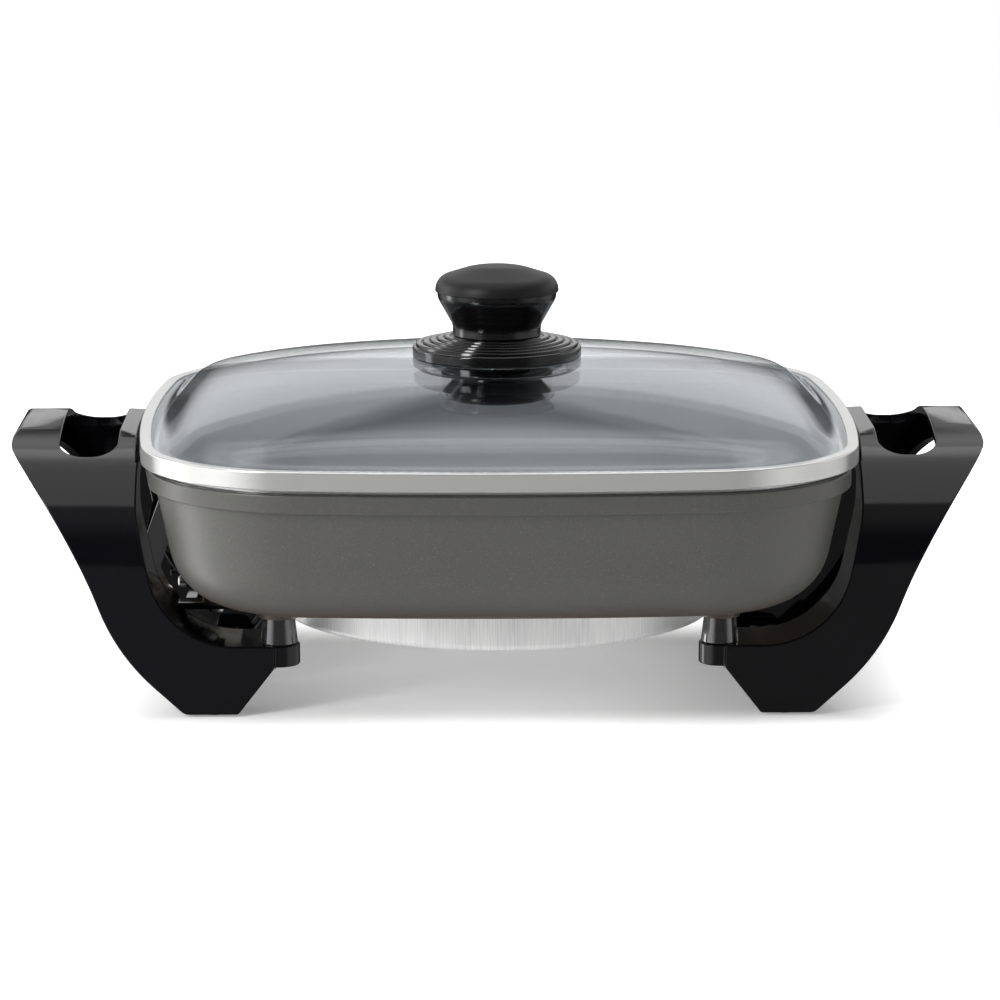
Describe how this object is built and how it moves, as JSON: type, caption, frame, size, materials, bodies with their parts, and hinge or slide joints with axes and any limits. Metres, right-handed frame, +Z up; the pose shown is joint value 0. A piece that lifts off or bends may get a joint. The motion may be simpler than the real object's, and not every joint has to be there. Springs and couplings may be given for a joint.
{
  "type": "electric skillet",
  "caption": "Deep square electric skillet with a domed glass lid, a round knob and black moulded handles that run down into legs.",
  "frame": {"origin": "on the floor, under the middle of the pan", "axes": "+X to the right handle, +Y to the rear, +Z up; the control inlet faces -X"},
  "size_m": [0.4268, 0.316, 0.1871],
  "materials": {
    "cast_pan": "satin grey coating outside and non-stick coating inside",
    "element_sheath": "satin",
    "terminal_metal": "polished",
    "ceramic": "matt",
    "plated_steel": "zinc plated",
    "dish_aluminium": "bright rolled",
    "phenolic": "gloss moulded",
    "band_steel": "polished stainless",
    "tempered_glass": "clear",
    "knob_gloss": "gloss",
    "knob_satin": "satin",
    "brass": "machined",
    "seal_rubber": "matt",
    "spacer_metal": "satin dark grey",
    "foot_rubber": "matt",
    "socket_casting": "as cast"
  },
  "bodies": {
    "base": {"pan": "cast_pan", "heating_element": "element_sheath", "terminal_pins": "terminal_metal", "terminal_bushes": "ceramic", "terminal_bracket": "plated_steel", "bracket_screws": "plated_steel", "reflector_dish": "dish_aluminium", "dish_screw": "plated_steel", "right_handle": "phenolic", "left_handle": "phenolic", "probe_guard": "phenolic", "guard_screws": "plated_steel", "leg_screws": "plated_steel", "front_left_spacer": "spacer_metal", "front_left_foot": "foot_rubber", "front_right_spacer": "spacer_metal", "front_right_foot": "foot_rubber", "rear_left_spacer": "spacer_metal", "rear_left_foot": "foot_rubber", "rear_right_spacer": "spacer_metal", "rear_right_foot": "foot_rubber", "probe_socket": "socket_casting"},
    "lid": {"lid_band": "band_steel", "lid_glass": "tempered_glass", "knob_skirt": "knob_gloss", "knob_body": "knob_gloss", "knob_cap": "knob_satin", "knob_insert": "brass", "upper_gasket": "seal_rubber", "lower_gasket": "seal_rubber", "knob_retainer": "knob_gloss", "knob_screw": "plated_steel"}
  },
  "joints": [
    {"name": "lid_lift", "type": "slide", "parent": "base", "child": "lid", "axis": [0, 0, 1], "range_m": [0, 0.15]}
  ]
}
